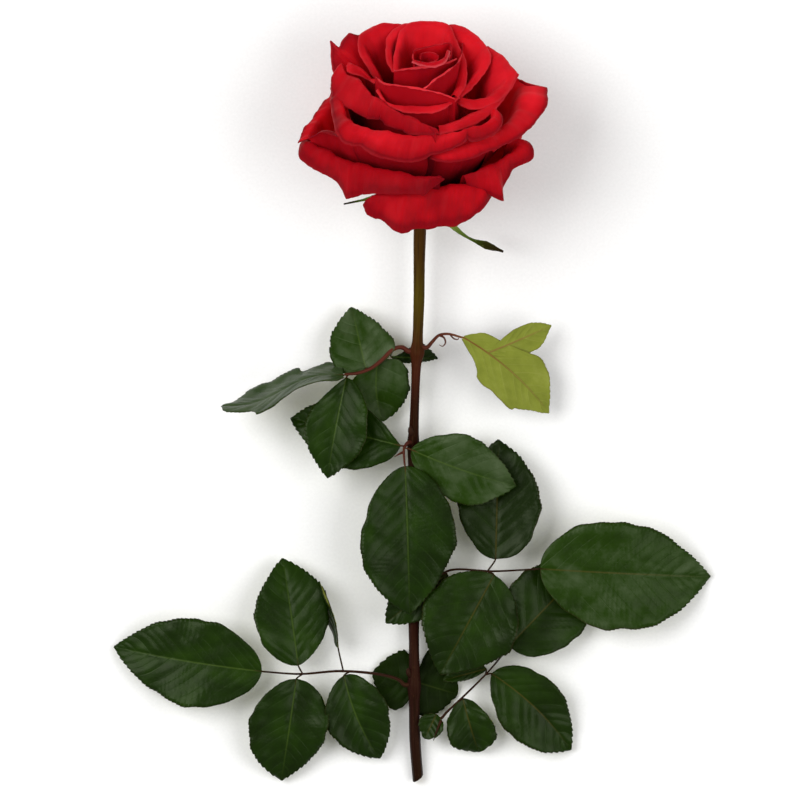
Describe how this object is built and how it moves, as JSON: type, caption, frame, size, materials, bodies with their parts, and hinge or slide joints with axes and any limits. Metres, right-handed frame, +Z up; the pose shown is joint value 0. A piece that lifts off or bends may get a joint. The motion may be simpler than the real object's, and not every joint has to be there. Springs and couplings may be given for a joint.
{
  "type": "cut rose",
  "caption": "Cut red rose on a leafy stem, lying on its back: an open many-petalled bloom with rolled rims, a hip with narrow sepals, and compound leaves with toothed leaflets.",
  "frame": {"origin": "on the surface the rose lies on, under the middle of its bounding box", "axes": "+Y from the stem's cut end towards the bloom, +Z up from the surface, +X to the right seen from above with the bloom away from the viewer"},
  "size_m": [0.2515, 0.3198, 0.0785],
  "materials": {
    "petal_velvet": "matte",
    "leaf_green": "satin",
    "leaf_pale": "matte",
    "stem_bark": "satin",
    "hip_skin": "satin"
  },
  "bodies": {
    "root": {"stem": "stem_bark", "calyx": "hip_skin", "bloom": "petal_velvet", "leaf_upper_left": "leaf_green", "leaf_upper_right": "leaf_pale", "leaf_front": "leaf_green", "leaf_right": "leaf_green", "leaf_lower_right": "leaf_green", "leaf_lower_left": "leaf_green", "leaf_behind": "leaf_green"}
  },
  "joints": []
}
